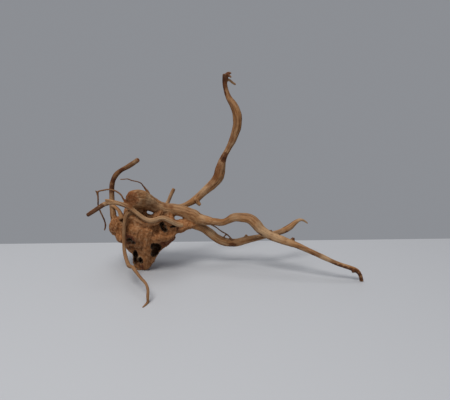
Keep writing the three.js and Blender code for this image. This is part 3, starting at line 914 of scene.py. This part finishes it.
# Whole limbs that are dark or pale, and lighter places, one a painted highlight on the burl's face.
colour = layer(colour, BROWN, times(attribute("dark"), 0.6))
colour = layer(colour, PALE, times(attribute("pale"), ramp(streaks, 0.12, -0.14), 0.6))
pale_and_highlight = ramp(total(board, attribute("pale_and_highlight"), times(streaks, 0.8)), 0.1, 0.8)
colour = layer(colour, PALE, times(pale_and_highlight, 0.7))
# Warm brown on the limbs, and dark red in the burl, painted shade on its underhung flank.
red_and_shade_mask = total(board, attribute("red_and_shade"), times(streaks, 0.6))
colour = layer(colour, WARM_BROWN, times(ramp(red_and_shade_mask, 0.1, 0.75), straight, 0.75))
red_and_shade_mask = ramp(total(board, attribute("red_and_shade"), blotches), 0.3, 0.75)
colour = layer(colour, DARK_RED_AND_SHADE, times(red_and_shade_mask, gnarled, 0.85))
# Stains, and the places that they soaked through.
stained = ramp(total(board, attribute("stain"), times(streaks, 1.1)), 0.3, 0.52)
colour = layer(colour, STAIN, times(stained, 0.85))
soaked = ramp(total(board, attribute("stain"), times(streaks, 0.8)), 0.75, 1.1)
colour = layer(colour, DARK, times(soaked, 0.85))
# Sawn ends, rot with painted shade in the hollows, painted shade in the burl's wide hollows and in the
# creases, and worn edges.
colour = layer(colour, SAWN, times(attribute("sawn"), 0.85))
rot_and_shade_mask = ramp(total(board, attribute("rot_and_shade"), times(blotches, 0.8)), 0.35, 0.8)
colour = layer(colour, BLACK_ROT_AND_SHADE, rot_and_shade_mask)
colour = layer(colour, BROWN, times(attribute("basin_shade"), gnarled, 0.7))
colour = layer(colour, BROWN, times(attribute("crease_shade"), 0.4))
colour = layer(colour, PALE, times(attribute("edge"), 0.16))
# The finest grain and its cracks.
colour = layer(colour, BROWN, times(ramp(threads, 0.04, 0.28), straight, 0.35))
colour = layer(colour, DARK, times(checks, straight, 0.4))
print("layers of colour done:", len(board.nodes), "nodes")

# %% The shader
wood = add(board, "ShaderNodeBsdfPrincipled", {"Base Color": colour})
wood.inputs["Specular IOR Level"].default_value = 0.12
rough = add(board, "ShaderNodeMapRange", {"Value": streaks, "From Min": -0.3, "From Max": 0.3,
                                          "To Min": 0.62, "To Max": 0.85})
board.links.new(rough.outputs[0], wood.inputs["Roughness"])
grain_height = total(board, times(threads, 0.6), times(streaks, 0.6), times(checks, -0.3))
grain_height = total(board, grain_height, times(blotches, gnarled, 0.9))
bump = add(board, "ShaderNodeBump", {"Height": grain_height, "Strength": 0.6, "Distance": 0.6 * MM})
board.links.new(bump.outputs[0], wood.inputs["Normal"])
surface = board.nodes.new("ShaderNodeOutputMaterial")
board.links.new(wood.outputs[0], surface.inputs["Surface"])
print("finish:", len(board.nodes), "nodes")

# %% [markdown]
# ## Stage, light and camera
#
# The root stands near the back edge of a pale table, in front of a plain grey-blue room. A large soft
# lamp hangs high in front, to the left, so the shadows are wide and fall behind the root, to its
# right. A weaker one hangs overhead, and the room itself gives the rest of the light. Smaller lamps
# would draw the arms' shadows too sharply. The camera looks down a little from the front.

# %% The table
TABLE_REACH = 2.5  # metres to the left, to the right and to the front
TABLE_BACK = 0.124
TABLE_THICK = 0.03
TABLE_SKEW = 0.035  # the back edge runs slightly away towards the right


def block(name, low, high):
    shape = bmesh.new()
    bmesh.ops.create_cube(shape, size=1)
    for vertex in shape.verts:
        vertex.co = [l + (h - l) * (c + 0.5) for l, h, c in zip(low, high, vertex.co)]
    mesh = bpy.data.meshes.new(name)
    shape.to_mesh(mesh)
    shape.free()
    return new_piece(name, mesh)


table = block("table", (-TABLE_REACH, -TABLE_REACH, -TABLE_THICK), (TABLE_REACH, TABLE_BACK, 0))
for corner in table.data.vertices:
    if corner.co.y > 0:
        corner.co.y += TABLE_SKEW * corner.co.x
pale_top = bpy.data.materials.new("pale_top")
pale_top.use_nodes = True
top = pale_top.node_tree.nodes["Principled BSDF"]
top.inputs["Base Color"].default_value = (0.462, 0.48, 0.515, 1)
top.inputs["Roughness"].default_value = 0.5
table.data.materials.append(pale_top)
print("table:", len(table.data.polygons), "faces")

# %% The light
room = bpy.data.worlds.new("room")
room.use_nodes = True
room.node_tree.nodes["Background"].inputs["Color"].default_value = (0.262, 0.272, 0.294, 1)
room.node_tree.nodes["Background"].inputs["Strength"].default_value = 1.0
bpy.context.scene.world = room


def soft_lamp(name, place, target, size, power, colour):
    lamp = bpy.data.lights.new(name, "AREA")
    lamp.shape = "RECTANGLE"
    lamp.size, lamp.size_y = size
    lamp.energy = power
    lamp.color = colour
    holder = new_piece(name, lamp)
    holder.location = place
    aim = Vector(target) - Vector(place)
    holder.rotation_euler = aim.to_track_quat("-Z", "Y").to_euler()


soft_lamp("front_lamp", place=(-0.5, -1.5, 2.5), target=(0.1, 0, 0.02), size=(1.1, 1.0),
          power=59, colour=(1.0, 0.96, 0.90))
soft_lamp("ceiling", place=(-0.1, 0.1, 1.8), target=(0.1, 0, 0.05), size=(1.0, 1.0),
          power=8, colour=(1.0, 0.97, 0.93))

# %% The camera
CAMERA_PLACE = (0.13529, -0.75854, 0.31800)
CAMERA_TILT = 75  # degrees, where 90 looks level
lens = bpy.data.cameras.new("camera")
lens.lens = 40
lens.sensor_width = 36
lens.clip_start = 0.01
camera = new_piece("camera", lens)
camera.location = CAMERA_PLACE
camera.rotation_euler = (math.radians(CAMERA_TILT), 0, 0)
bpy.context.scene.camera = camera
bpy.context.scene.view_settings.view_transform = "Standard"
print("camera:", CAMERA_PLACE, "tilt", CAMERA_TILT)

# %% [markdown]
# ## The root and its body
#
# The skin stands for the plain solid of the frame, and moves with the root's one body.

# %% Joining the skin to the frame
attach(root_wood, "root")
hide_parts("dry_root")
